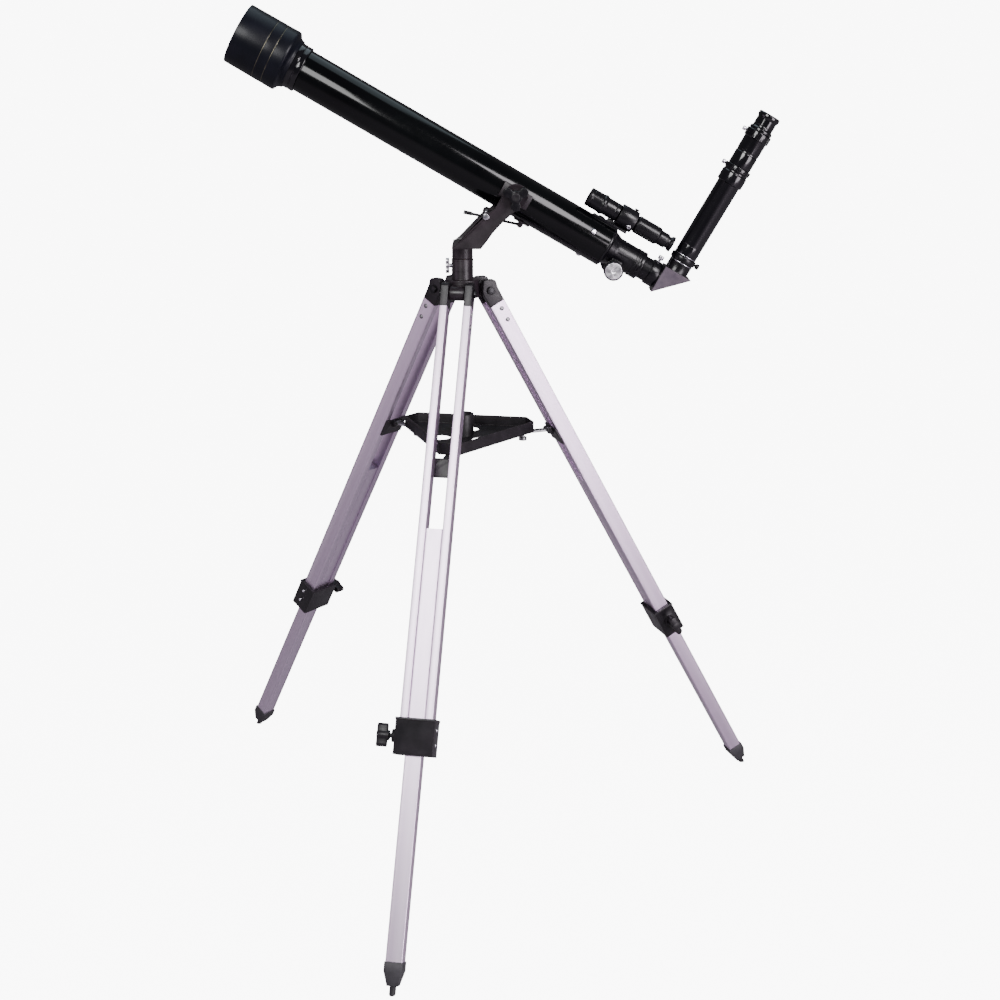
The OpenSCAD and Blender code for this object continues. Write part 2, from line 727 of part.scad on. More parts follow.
module eyepiece_body() {
    color("#101015") on_stack() turned_z([
        [11, 219], [barrel_r, 219], [barrel_r, barlow_end + 0.4], [17, barlow_end + 0.5], [17, 247], [14.8, 249],
        [14.6, 262], [15.6, 264], [16.2, 266], [16.2, 268.5], [15, eyepiece_end], [9, eyepiece_end],
        [6.5, 266], [6.5, 262.5], [11, 262], [11, 245]
    ]);
}

module eyepiece_lens() {
    color("#bcd4dd") on_stack() rotate([0, -90, 0]) {
        lens(10.9, 224, 4, 28, 400);
        lens(10.9, 256.5, 5, 400, 22);
    }
}

// ---------------------------------------------------------------- finder

module finder_tube() {
    color("#121318") on_tube() translate([0, 0, finder_rise]) turned_x([
        [11.8, 532], [13.5, 532], [13.5, 553], [14.6, 555], [14.6, 557], [12.9, 560], [12.9, 580], [10.6, 583],
        [10.6, 609], [12.9, 612], [12.9, 646], [10.6, 649], [10.6, 661], [8.7, 662], [8.7, 665], [10.9, 667],
        [11.5, 671.4], [8, 671.4], [5.5, 668], [5.5, 658.2], [8.2, 658], [8.2, 620], [9.4, 560], [11.8, 553]
    ]);
}

module finder_lenses() {
    color("#9fc7b8") on_tube() translate([0, 0, finder_rise]) {
        lens(11.5, 540, 3, 120, 160);
        lens(7.9, 651, 4, 30, 30);
    }
}

// Foot on the tube, sloping web and ring round the finder.
ring_s = [582, 608];
ring_r = 15.8;
ring_bore = 13.3;
nut_s = 563.5;
adjuster_s = 602;
adjuster_tip = 10.8;
foot_h = 1.8;
module finder_bracket() {
    color("#15151a") on_tube() difference() {
        union() {
            block([551, -9, tube_r - 4], [604, 9, tube_r + foot_h]);
            translate([0, 3, 0]) rotate([90, 0, 0]) linear_extrude(6) polygon([
                [nut_s + 7, tube_r + 1], [604, tube_r + 1], [ring_s[1], finder_rise - 8],
                [nut_s + 10, finder_rise - 8]
            ]);
            translate([0, 0, finder_rise]) turned_x([[0, ring_s[0]], [ring_r, ring_s[0]], [ring_r, ring_s[1]],
                [0, ring_s[1]]]);
        }
        turned_x([[0, 500], [tube_r + 0.03, 500], [tube_r + 0.03, 640], [0, 640]]);
        translate([0, 0, finder_rise]) turned_x([[0, 560], [ring_bore, 560], [ring_bore, 640], [0, 640]]);
        for (a = [0, 120, 240]) translate([adjuster_s, 0, finder_rise]) rotate([a, 0, 0]) cylinder(r = 2.06, h = 30);
        translate([nut_s, 0, tube_r]) cylinder(r = 2.56, h = 10);
    }
}

// Three finder adjusters and the knurled nut that holds the bracket's foot.
module finder_screws() {
    color("#2b2530") on_tube() {
        for (a = [0, 120, 240]) translate([adjuster_s, 0, finder_rise]) rotate([a, 0, 0])
            translate([0, 0, adjuster_tip]) thumbscrew(2, 5.3, 3.4, 2.4);
        translate([nut_s, 0, tube_r + 0.1]) thumbscrew(2.5, foot_h + 0.2, 5, 1.6);
    }
}

// ---------------------------------------------------------------- assembly

tripod_head();
hinge_bolts();
azimuth_lock_screw();
accessory_tray();
for (i = [0:2]) {
    hinge_bracket(i);
    rails(i);
    clamp(i);
    clamp_knob(i);
    inner_leg(i);
    foot(i);
    brace_bracket(i);
    brace(i);
}
yoke();
azimuth_spindle();
rod_swivel();
altitude_knob(-1);  // near_altitude_knob
altitude_knob(1);  // far_altitude_knob
slow_motion_rod();
main_tube();
altitude_bosses();
dew_shield();
objective_cell();
objective_lenses();
rod_bracket();
focuser_body();
focuser_screws();
drawtube();
drawtube_thumbscrew();
pinion_shaft();
focus_knobs();
diagonal_housing();
diagonal_side_plates();
diagonal_prism();
diagonal_thumbscrew();
erector_tube();
erector_lens();
barlow_body();
barlow_lens();
eyepiece_body();
eyepiece_lens();
finder_tube();
finder_lenses();
finder_bracket();
finder_screws();
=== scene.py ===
# %% [markdown]
# # A small refractor telescope on its tripod
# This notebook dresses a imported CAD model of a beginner's telescope. The CAD parts give every
# place and size. Each lesson makes one finish or one family of pieces, and every piece rides on
# the body that carries it, so the yoke still turns and the legs still fold.

import json
import math

import bmesh
import bpy
from mathutils import Matrix, Vector


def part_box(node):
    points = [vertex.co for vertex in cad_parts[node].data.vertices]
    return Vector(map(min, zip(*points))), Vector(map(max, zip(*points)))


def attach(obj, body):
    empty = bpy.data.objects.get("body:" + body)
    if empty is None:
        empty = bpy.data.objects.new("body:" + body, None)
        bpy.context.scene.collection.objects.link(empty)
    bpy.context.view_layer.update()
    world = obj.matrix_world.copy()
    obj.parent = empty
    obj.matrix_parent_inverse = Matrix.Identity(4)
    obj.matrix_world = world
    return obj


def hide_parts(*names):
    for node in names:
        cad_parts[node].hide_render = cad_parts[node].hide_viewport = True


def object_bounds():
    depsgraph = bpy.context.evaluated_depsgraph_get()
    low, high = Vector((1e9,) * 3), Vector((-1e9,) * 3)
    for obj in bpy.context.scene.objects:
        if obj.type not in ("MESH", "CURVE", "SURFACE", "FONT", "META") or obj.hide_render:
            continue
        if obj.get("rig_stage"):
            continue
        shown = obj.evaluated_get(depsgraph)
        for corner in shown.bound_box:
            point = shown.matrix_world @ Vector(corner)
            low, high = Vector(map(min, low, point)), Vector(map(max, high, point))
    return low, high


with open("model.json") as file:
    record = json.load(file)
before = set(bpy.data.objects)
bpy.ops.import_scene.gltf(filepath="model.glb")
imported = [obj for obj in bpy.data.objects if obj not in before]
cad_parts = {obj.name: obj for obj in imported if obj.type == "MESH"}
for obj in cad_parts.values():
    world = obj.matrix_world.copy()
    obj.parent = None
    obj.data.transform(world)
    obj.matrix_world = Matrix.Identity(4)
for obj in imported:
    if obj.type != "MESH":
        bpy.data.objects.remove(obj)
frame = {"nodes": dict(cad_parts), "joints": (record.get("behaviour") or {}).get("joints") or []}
bpy.ops.object.select_all(action="DESELECT")
cad_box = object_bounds()

# %% [markdown]
# ## Places, from the joints
# The joints already say where the mechanism is. The focus slide gives the way the tube points,
# the altitude pin gives a point on its axis, and each leg's hinge and slide give that leg's own
# axes. Reading them beats typing numbers twice, because the pieces then follow the CAD.

# %% Local frames for the tube, the eyepiece stack and the legs
MM = 0.001
JOINTS = {joint["name"]: joint for joint in frame["joints"]}


def axes(x, y, z, origin):
    """A matrix from a piece's own axes to the row frame."""
    return Matrix([[x[k], y[k], z[k], origin[k]] for k in range(3)] + [[0, 0, 0, 1]])


def shift(x, y, z):
    return Matrix.Translation(Vector((x, y, z)) * MM)


def turn(degrees, axis):
    return Matrix.Rotation(math.radians(degrees), 4, axis)


ACROSS = Vector((0, 1, 0))
UPRIGHT = Vector((0, 0, 1))
rearward = Vector(JOINTS["focus"]["axis"]).normalized()
tube_up = rearward.cross(ACROSS)
PIVOT_STATION = 440
STACK_STATION = 695.5
pivot = Vector(JOINTS["altitude"]["pos_m"])
mouth = pivot - rearward * PIVOT_STATION * MM
# In TUBE, z is the station from the dew shield's mouth, y is across and x is down.
TUBE = axes(-tube_up, ACROSS, rearward, mouth)
# In STACK, z runs up the eyepiece stack and x is rearwards.
STACK = axes(rearward, ACROSS, tube_up, mouth + rearward * STACK_STATION * MM)
LEGS = {}
for leg in ("right", "left", "front"):
    down = Vector(JOINTS[leg + "_leg_length"]["axis"]).normalized()
    if down.z > 0:
        down = -down
    outward = Vector((down.x, down.y, 0)).normalized()
    sideways = UPRIGHT.cross(outward)
    hinge = Vector(JOINTS[leg + "_leg_fold"]["pos_m"])
    # In a leg's frame, z runs up the leg from its hinge pin, x is outwards and y is across.
    LEGS[leg] = axes(sideways.cross(-down), sideways, -down, hinge)
print("tube rises", round(math.degrees(math.asin(-rearward.z)), 1), "degrees")

# %% [markdown]
# ## Camera
# A long lens from a little above the head shows the legs without much convergence. The camera
# stands square to the tube, so one rotation about X is enough.

# %% Camera
CAMERA_AT = (0.0540, -2.2094, 1.2128)
LOOK_DOWN = 17.352
camera_data = bpy.data.cameras.new("camera")
camera_data.sensor_width = 36
camera_data.lens = 55.29
camera = bpy.data.objects.new("camera", camera_data)
camera.location = CAMERA_AT
camera.rotation_euler = (math.radians(90 - LOOK_DOWN), 0, 0)
bpy.context.scene.collection.objects.link(camera)
bpy.context.scene.camera = camera
print("lens", camera_data.lens, "mm")

# %% [markdown]
# ## One function for colours, one for nodes
# Swatches are written as sRGB hex, the way a paint chart gives them, and turned to linear once.
# A shader is a list of nodes and links, so one small function that adds a node, sets it and
# links it keeps every finish short enough to read.

# %% Colour and node helpers


def srgb(code):
    """Linear colour from an sRGB hex code."""
    values = [int(code[k : k + 2], 16) / 255 for k in (1, 3, 5)]
    return [v / 12.92 if v <= 0.04045 else ((v + 0.055) / 1.055) ** 2.4 for v in values] + [1]


def add(tree, kind, inputs=None, **settings):
    """Adds a node. Settings go on the node, inputs on its sockets, by name or number."""
    made = tree.nodes.new("ShaderNode" + kind)
    for key, value in settings.items():
        setattr(made, key, value)
    for key, value in (inputs or {}).items():
        if isinstance(value, bpy.types.NodeSocket):
            tree.links.new(value, made.inputs[key])
        else:
            made.inputs[key].default_value = value
    return made


def new_finish(name, slot, roughness, metallic=0.0, **extra):
    """A material with its Principled shader; slot, the record's slot that it would dress, is not
    used.
    """
    finish = bpy.data.materials.new(name)
    finish.use_nodes = True
    shader = finish.node_tree.nodes["Principled BSDF"]
    shader.inputs["Roughness"].default_value = roughness
    shader.inputs["Metallic"].default_value = metallic
    for key, value in extra.items():
        shader.inputs[key.replace("_", " ")].default_value = value
    return finish


def scale_of(millimetres):
    """Noise scale whose features are about this long, for coordinates in metres."""
    return 1 / (millimetres * MM)


def grain(finish, dark, light, patch, rough, fine, depth, coords=None):
    """The pattern that every finish has: uneven tone over patches, uneven gloss and fine relief.

    patch and fine are sizes in millimetres, rough is the lowest and highest roughness, and depth
    is the height of the relief in millimetres. Returns the tone's and the relief's sockets.
    """
    tree = finish.node_tree
    shader = tree.nodes["Principled BSDF"]
    where = coords or add(tree, "TexCoord").outputs["Object"]
    wide = add(tree, "TexNoise", {"Vector": where, "Scale": scale_of(patch), "Detail": 4.0})
    tone = add(tree, "ValToRGB", {"Fac": wide.outputs["Fac"]})
    tone.color_ramp.elements[0].position, tone.color_ramp.elements[1].position = 0.3, 0.7
    tone.color_ramp.elements[0].color = srgb(dark)
    tone.color_ramp.elements[1].color = srgb(light)
    tree.links.new(tone.outputs["Color"], shader.inputs["Base Color"])
    small = add(tree, "TexNoise", {"Vector": where, "Scale": scale_of(fine), "Detail": 3.0})
    mixed = add(
        tree,
        "Math",
        {0: wide.outputs["Fac"], 1: small.outputs["Fac"]},
        operation="ADD",
    )
    gloss = add(tree, "MapRange",
                {"Value": mixed.outputs[0], "From Min": 0.7, "From Max": 1.3, "To Min": rough[0],
                 "To Max": rough[1]})
    tree.links.new(gloss.outputs["Result"], shader.inputs["Roughness"])
    relief = add(
        tree,
        "Bump",
        {"Height": small.outputs["Fac"], "Strength": 1.0, "Distance": depth * MM},
    )
    tree.links.new(relief.outputs["Normal"], shader.inputs["Normal"])
    return tone, relief


# %% [markdown]
# ## Black finishes
# Nearly everything on a small telescope is black, yet no two blacks are alike. The tube is
# stove enamelled: a glassy coat with the slow waves that sprayers call orange peel. The dew
# shield, focuser and finder are moulded ABS, whose surface copies the spark-eroded mould. The
# eyepiece barrels are turned aluminium, dyed black and lacquered. They could share one shader,
# but then the eye would see a single casting, so each gets its own gloss and its own relief.

# %% Black finishes
# Gloss stove enamel over aluminium: a glassy top over deep black, waves about 5 mm long.
tube_enamel = new_finish("aluminium_stove_enamelled_black", "tube_enamel", 0.2,
                         Specular_IOR_Level=0.22)
grain(tube_enamel, "#020203", "#040506", 70, (0.1, 0.17), 5, 0.004)
# Moulded ABS, lightly polished mould: a soft sheen with a cold cast and a 0.6 mm pebble.
shield_abs = new_finish("abs_moulded_satin_black", "shield_plastic", 0.35,
                        Specular_IOR_Level=0.15)
grain(shield_abs, "#06070c", "#0a0b13", 35, (0.28, 0.38), 0.6, 0.01)
# Moulded ABS from a smoother mould, for the focuser, finder and diagonal.
fitting_abs = new_finish("abs_moulded_semigloss_black", "fitting_plastic", 0.3,
                         Specular_IOR_Level=0.3)
grain(fitting_abs, "#060508", "#0b0a0e", 20, (0.22, 0.32), 0.5, 0.008)
# Black anodised aluminium under lacquer: very even and glossy, with faint turning marks.
barrel_black = new_finish("aluminium_anodised_lacquered_black", "barrel_anodised", 0.15,
                          Specular_IOR_Level=0.45)
grain(barrel_black, "#040306", "#08070b", 50, (0.09, 0.16), 1.2, 0.0015)
# Flocked or blackened inside of a barrel: scatters stray light, so it is quite matt.
inner_black = new_finish("paint_matt_optical_black", "shield_plastic", 0.85)
grain(inner_black, "#040405", "#070708", 15, (0.75, 0.95), 0.4, 0.03)

# %% [markdown]
# ## Mount and tripod finishes
# The yoke and head are pressure die castings under a dark satin enamel that leans to purple.
# Clamps, brackets and tray are glass-filled nylon, whose skin shows the mould's grain and wears
# grey along edges. The feet are rubber. Each takes its grain size from the real process.

# %% Mount and tripod finishes


def worn_edges(finish, tone, bare, amount):
    """Mixes a rubbed colour in where the surface turns a convex edge."""
    tree = finish.node_tree
    shader = tree.nodes["Principled BSDF"]
    where = add(tree, "TexCoord").outputs["Object"]
    edge = add(
        tree,
        "MapRange",
        {
            "Value": add(tree, "NewGeometry").outputs["Pointiness"],
            "From Min": 0.52,
            "From Max": 0.62,
            "To Max": amount,
        },
    )
    patches = add(tree, "TexNoise", {"Vector": where, "Scale": scale_of(6), "Detail": 5.0})
    share = add(
        tree, "Math", {0: edge.outputs["Result"], 1: patches.outputs["Fac"]}, operation="MULTIPLY"
    )
    mixed = add(
        tree,
        "Mix",
        {"Factor": share.outputs[0], "A": tone.outputs["Color"], "B": srgb(bare)},
        data_type="RGBA",
    )
    tree.links.new(mixed.outputs["Result"], shader.inputs["Base Color"])


# Zinc die casting under satin enamel: a 0.8 mm pebble from the powder, purple in the light.
casting = new_finish("zinc_die_cast_satin_enamel", "dark_casting", 0.36, Specular_IOR_Level=0.35)
tone, _ = grain(casting, "#140f13", "#1e171c", 25, (0.3, 0.42), 0.8, 0.015)
worn_edges(casting, tone, "#4a414a", 0.4)
# Glass-filled nylon, moulded: the fibres leave a 0.5 mm dull grain, and edges rub to grey.
nylon = new_finish("nylon_glass_filled_moulded", "moulded_nylon", 0.42, Specular_IOR_Level=0.3)
tone, _ = grain(nylon, "#0c0a0d", "#151216", 18, (0.34, 0.48), 0.5, 0.015)
worn_edges(nylon, tone, "#3d373d", 0.4)
# Moulded rubber: soft, dull, and dusty where it meets the ground.
rubber = new_finish("rubber_moulded_black", "foot_rubber", 0.6, IOR=1.52)
tone, _ = grain(rubber, "#0d0c0f", "#1a181c", 10, (0.5, 0.7), 0.7, 0.03)
worn_edges(rubber, tone, "#6b6870", 0.35)
# Pressed plate under grey-purple satin enamel, on the prism diagonal's two sides.
plate_grey = new_finish("steel_pressed_satin_enamel", "side_plate_metal", 0.38, IOR=1.5)
grain(plate_grey, "#3a333d", "#494049", 12, (0.32, 0.44), 0.6, 0.012)

# %% [markdown]
# ## Bright metals
# A metal shows what surrounds it, so its colour matters less than its surface. Extruded
# aluminium carries die lines along its whole length, and those need a pattern that follows the
# leg. Noise can be stretched by a Mapping node, and a second Mapping turned to each leg points
# the stretch, so there is one finish per leg. The focus knob's cap is faced on a lathe, and its
# fan-shaped glint comes from grooves round the centre: an anisotropic shader with a tangent
# that circles the knob's axis draws it at a groove pitch far too fine to model.

# %% Bright metals


def leg_metal(leg):
    """Anodised extruded aluminium with die lines about 0.5 mm apart down one leg."""
    finish = new_finish("aluminium_extruded_anodised_" + leg, "leg_aluminium", 0.4, 1.0)
    tree = finish.node_tree
    turned_in = add(
        tree,
        "Mapping",
        {
            "Vector": add(tree, "TexCoord").outputs["Object"],
            "Rotation": LEGS[leg].to_3x3().inverted().to_euler(),
        },
    )
    # The lines run 60 times as far along the leg as across it.
    drawn = add(
        tree, "Mapping", {"Vector": turned_in.outputs["Vector"], "Scale": (1, 1, 1 / 60)}
    )
    grain(finish, "#c2aec6", "#ddcfe0", 25, (0.34, 0.44), 0.5, 0.004, drawn.outputs["Vector"])
    return finish


leg_metals = {leg: leg_metal(leg) for leg in LEGS}
# Zinc plated steel: bright, faintly uneven where the plating settled.
plated = new_finish("steel_zinc_plated", "zinc_steel", 0.22, 1.0)
grain(plated, "#b9b7be", "#d0ced4", 4, (0.18, 0.3), 0.5, 0.006)
# Blackened steel rod: oxide over drawn bar, semi-matt.
black_rod = new_finish("steel_blackened_drawn", "rod_steel", 0.35, 0.6)
grain(black_rod, "#121214", "#1d1c1f", 12, (0.28, 0.4), 0.6, 0.006)
# Dull galvanised strip, for the braces that spread the legs.
strip_steel = new_finish("steel_galvanised_strip", "zinc_steel", 0.4, 1.0)
grain(strip_steel, "#6f7071", "#8e8e90", 5, (0.34, 0.48), 0.6, 0.008)
# Turned brass spindle and pinion.
brass = new_finish("brass_turned", "brass_works", 0.25, 1.0)
grain(brass, "#8f7438", "#b3934c", 8, (0.2, 0.32), 0.4, 0.006)
# Hot-stamped metal foil, tarnished olive, for the two rings round the dew shield.
foil = new_finish("foil_hot_stamped_silver", "zinc_steel", 0.3, 1.0)
grain(foil, "#3c3a31", "#6d695b", 9, (0.3, 0.46), 0.6, 0.004)

# The turned face of the focus caps, its tangent circling the pinion's axis.
pinion_at = Vector(JOINTS["pinion_turn"]["pos_m"])
faced = new_finish("aluminium_faced_on_lathe", "zinc_steel", 0.28, 1.0, Anisotropic=0.85)
tree = faced.node_tree
spot = add(tree, "TexCoord").outputs["Object"]
grain(faced, "#e2e0e4", "#f2f0f4", 6, (0.24, 0.32), 0.35, 0.003)
from_centre = add(tree, "VectorMath", {0: spot, 1: pinion_at}, operation="SUBTRACT")
round_axis = add(
    tree, "VectorMath", {0: from_centre.outputs["Vector"], 1: ACROSS}, operation="CROSS_PRODUCT"
)
tangent = add(tree, "VectorMath", {0: round_axis.outputs["Vector"]}, operation="NORMALIZE")
tree.links.new(tangent.outputs["Vector"], tree.nodes["Principled BSDF"].inputs["Tangent"])

# Coated crown glass: clear, with the green cast of an antireflection layer.
glass = new_finish("glass_crown_coated", "coated_glass", 0.02, IOR=1.52, Transmission_Weight=0.9)
grain(glass, "#8fb5a8", "#a5c9bc", 30, (0.01, 0.03), 5, 0.0005)

# %% [markdown]
# ## Tools for modelling
# A turned piece could be made with Screw or Spin. Extruding a ring of edges from step to step
# and scaling it about the axis is the same lathe work done by hand, and it keeps each ring
# where the profile says. Corners are eased a few tenths of a millimetre first, because an edge
# without a radius never catches light.

# %% Modelling tools


def clear():
    """Leaves edit mode and selects nothing, so that an operator meets only the new piece."""
    if bpy.context.object and bpy.context.object.mode != "OBJECT":
        bpy.ops.object.mode_set(mode="OBJECT")
    bpy.ops.object.select_all(action="DESELECT")


def edit(obj, kind="FACE"):
    """Enters edit mode on one object with nothing selected."""
    clear()
    obj.select_set(True)
    bpy.context.view_layer.objects.active = obj
    bpy.ops.object.mode_set(mode="EDIT")
    bpy.ops.mesh.select_mode(type=kind)
    bpy.ops.mesh.select_all(action="DESELECT")


def choose(obj, test):
    """Selects the faces, in edit mode, whose centre in millimetres and normal pass the test."""
    mesh = bmesh.from_edit_mesh(obj.data)
    chosen = 0
    for face in mesh.faces:
        if test(face.calc_center_median() / MM, face.normal):
            face.select_set(True)
            chosen += 1
    bmesh.update_edit_mesh(obj.data)
    return chosen


def eased(points, radius):
    """Profile points with each sharp corner cut back by the radius, for a small round."""
    out = [points[0]]
    for before, corner, after in zip(points, points[1:], points[2:]):
        corner = Vector(corner)
        towards, onward = Vector(before) - corner, Vector(after) - corner
        cut = min(radius, towards.length / 2.2, onward.length / 2.2)
        near, far = corner + towards.normalized() * cut, corner + onward.normalized() * cut
        out += [tuple(near), tuple((near + far + corner * 2) / 4), tuple(far)]
    return out + [points[-1]]


def turned(points, ease=0.3, segments=96):
    """A solid of revolution about local Z from (radius, station) points in millimetres."""
    clear()
    rings = eased(points, ease)
    radius, station = rings[0]
    bpy.ops.mesh.primitive_circle_add(
        vertices=segments, radius=radius * MM, location=(0, 0, station * MM)
    )
    obj = bpy.context.object
    bpy.ops.object.transform_apply()
    edit(obj, "EDGE")
    bpy.ops.mesh.select_all(action="SELECT")
    for next_radius, next_station in rings[1:]:
        step = (0, 0, (next_station - station) * MM)
        bpy.ops.mesh.extrude_region_move(TRANSFORM_OT_translate={"value": step})
        growth = next_radius / radius
        bpy.ops.transform.resize(value=(growth, growth, 1), center_override=(0, 0, 0))
        radius, station = next_radius, next_station
    bpy.ops.mesh.select_all(action="SELECT")
    bpy.ops.mesh.remove_doubles(threshold=1e-6)
    bpy.ops.mesh.fill_holes(sides=0)
    bpy.ops.mesh.normals_make_consistent(inside=False)
    clear()
    return obj


# A face whose normal rises less than this counts as upright, so eased corners are left alone.
UPRIGHT_FACE = 0.1


def fluted(obj, low, high, radius, depth, thickness):
    """Sinks every second upright face between two stations, for a grip."""
    edit(obj)
    mesh = bmesh.from_edit_mesh(obj.data)
    rings = {}
    for face in mesh.faces:
        centre = face.calc_center_median() / MM
        outside = math.hypot(centre.x, centre.y) > radius
        if low < centre.z < high and outside and abs(face.normal.z) < UPRIGHT_FACE:
            angle = math.atan2(centre.y, centre.x)
            rings.setdefault(round(centre.z, 2), []).append((angle, face.index, face))
    for ring in rings.values():
        for _, _, face in sorted(ring)[::2]:
            face.select_set(True)
    bmesh.update_edit_mesh(obj.data)
    bpy.ops.mesh.inset(thickness=thickness * MM, depth=-depth * MM, use_individual=True)
    clear()
    return obj


def settle(obj, name, place, body, finish, stands_for=(), smooth=32):
    """Puts a finished piece where it belongs, gives it its finish and its body."""
    clear()
    obj.name = obj.data.name = name
    obj.select_set(True)
    bpy.context.view_layer.objects.active = obj
    obj.matrix_world = place
    bpy.ops.object.transform_apply()
    bpy.ops.object.shade_smooth_by_angle(angle=math.radians(smooth))
    obj.data.materials.clear()
    obj.data.materials.append(finish)
    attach(obj, body)
    if stands_for:
        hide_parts(*stands_for)
    clear()
    return obj


def softened(node, body, finish, radius=0.5, segments=2, shape=None):
    """A copy of a CAD part with its sharp edges rounded, as moulds and dies leave them.

    shape, if given, works on the merged copy in edit mode before the edges are rounded.
    """
    clear()
    source = frame["nodes"][node]
    obj = source.copy()
    obj.data = source.data.copy()
    obj.parent = None
    for key in [key for key in obj.keys() if key.startswith("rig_")]:
        del obj[key]
    bpy.context.scene.collection.objects.link(obj)
    edit(obj)
    bpy.ops.mesh.customdata_custom_splitnormals_clear()
    bpy.ops.mesh.select_all(action="SELECT")
    bpy.ops.mesh.remove_doubles(threshold=2e-6)
    bpy.ops.mesh.dissolve_limited(angle_limit=math.radians(0.6))
    bpy.ops.mesh.select_all(action="DESELECT")
    if shape:
        shape(obj)
    clear()
    obj.select_set(True)
    bpy.context.view_layer.objects.active = obj
    rounding = obj.modifiers.new("rounding", "BEVEL")
    rounding.width = radius * MM
    rounding.segments = segments
    rounding.limit_method = "ANGLE"
    rounding.angle_limit = math.radians(38)
    rounding.use_clamp_overlap = False
    rounding.miter_outer = "MITER_ARC"
    bpy.ops.object.modifier_apply(modifier="rounding")
    return settle(obj, node + "_finished", Matrix.Identity(4), body, finish, (node,))


print("modelling tools ready")

# %% [markdown]
# ## The dew shield and objective
# The shield is one ABS moulding with a rolled mouth, two shallow grooves that take stamped foil
# rings, and a shoulder that drops to the lens cell. Its two foil rings could be painted on by a
# shader, but real rings of their own keep a crisp edge from every side.

# %% Dew shield, foil rings and cell
BANDS = (43.4, 57.3)
BAND_HALF = 0.4
shield_outline = [(41.2, 0.2), (42.9, 0.2), (43.1, 20)]
for station in BANDS:
    shield_outline += [
        (43.35, station - BAND_HALF - 0.5),
        (43.1, station - BAND_HALF),
        (43.1, station + BAND_HALF),
        (43.4, station + BAND_HALF + 0.5),
    ]
shield_outline += [(43.7, 73), (43.2, 75.5), (41, 77), (37.5, 79), (35.5, 81.5), (34.6, 85)]
shield_outline += [(32.75, 85), (32.75, 77.5), (38.5, 75), (40.6, 72), (41.2, 0.2)]
shield = turned(shield_outline, 0.35, 128)
settle(shield, "dew_shield_moulding", TUBE, "telescope", shield_abs, ("dew_shield",))
for number, station in enumerate(BANDS):
    ring = turned(
        [(42.9, station - BAND_HALF), (43.25, station - BAND_HALF), (43.25, station + BAND_HALF),
         (42.9, station + BAND_HALF), (42.9, station - BAND_HALF)], 0.1, 128)
    settle(ring, f"dew_shield_foil_{number}", TUBE, "telescope", foil)
lining = turned([(40.2, 2), (40.9, 2), (40.9, 70), (40.2, 70), (40.2, 2)], 0.1, 128)
settle(lining, "dew_shield_lining", TUBE, "telescope", inner_black)

cell = turned([(30.25, 77.8), (32.7, 77.8), (32.7, 91.6), (31.9, 92), (31.9, 93), (32.5, 93.4),
               (32.5, 99.4), (32.1, 100), (30.05, 100), (30.05, 92.9), (28.7, 92.9), (28.7, 91.4),
               (30.25, 91.4), (30.25, 77.8)], 0.35, 128)
settle(cell, "objective_cell_turned", TUBE, "telescope", barrel_black, ("objective_cell",))
retainer = turned([(28.2, 76.4), (30.2, 76.4), (30.2, 79.2), (28.2, 79.2), (28.2, 76.4)], 0.25)
settle(retainer, "objective_retaining_ring", TUBE, "telescope", inner_black)
print("dew shield rides on telescope")

# %% [markdown]
# ## The main tube
# Rolled aluminium, stove enamelled after its ends are cut. It could stay the CAD cylinder, but a
# reflection along a glossy tube shows every facet, so it is turned again with finer steps.

# %% Main tube
tube = turned([(28.6, 93), (30, 93), (30, 588), (28.6, 588), (28.6, 93)], 0.25, 160)
settle(tube, "main_tube_enamelled", TUBE, "telescope", tube_enamel, ("main_tube",))
print("main tube", [round(v, 3) for v in tube.dimensions])

# %% [markdown]
# ## Thumbscrews
# The telescope is held together with small thumbscrews: one at the drawtube, one on every push
# fit of the stack, three round the finder and a nut on the finder's foot. All share one shape,
# a fluted head on a plain shank, so it is modelled once as a function and made at each size.

# %% Thumbscrews


def thumbscrew(name, place, body, finish, shank_r, shank, head_r, head_h, stands_for=()):
    """A thumbscrew with its tip at local zero and its head up local Z."""
    outline = [(shank_r * 0.7, 0), (shank_r, 0.5), (shank_r, shank), (head_r * 0.8, shank),
               (head_r, shank + 0.6), (head_r, shank + head_h - 0.6),
               (head_r * 0.82, shank + head_h), (head_r * 0.55, shank + head_h),
               (head_r * 0.5, shank + head_h - 0.5)]
    screw = turned(outline, 0.15, 32)
    fluted(screw, shank + 0.6, shank + head_h - 0.6, head_r * 0.9, 0.35, 0.12)
    return settle(screw, name, place, body, finish, stands_for)


out = turn(90, "Y")  # local Z to local +X
back = turn(-90, "Y")  # local Z to local -X
STATIONS = {"draw": 667, "diagonal": 39, "erector": 184.8, "barlow": 237.5}
thumbscrew("drawtube_clamp_screw", TUBE @ shift(-16.1, 0, STATIONS["draw"]) @ back, "draw_screw",
           plated, 2, 5.5, 4.2, 6, ("drawtube_thumbscrew",))
thumbscrew("diagonal_clamp_screw", STACK @ shift(16.1, 0, STATIONS["diagonal"]) @ out,
           "diagonal_screw", black_rod, 2, 4.5, 4, 5, ("diagonal_thumbscrew",))
thumbscrew("erector_clamp_screw", STACK @ shift(-18.2, 0, STATIONS["erector"]) @ back, "erector",
           plated, 1.8, 2.3, 3.1, 4.6)
thumbscrew("barlow_clamp_screw", STACK @ shift(-17.2, 0, STATIONS["barlow"]) @ back, "barlow",
           plated, 1.8, 2.6, 3.1, 4.6)
TUBE_R = 30
FINDER_RISE = 48.5
ADJUSTER_STATION = 602
NUT_STATION = 563.5
FINDER = TUBE @ shift(-FINDER_RISE, 0, 0)
for number, angle in enumerate((0, 120, 240)):
    thumbscrew(f"finder_adjuster_{number}",
               FINDER @ turn(angle, "Z") @ shift(-10.8, 0, ADJUSTER_STATION) @ back, "telescope",
               plated if number else black_rod, 2, 5.3, 3.4, 2.4)
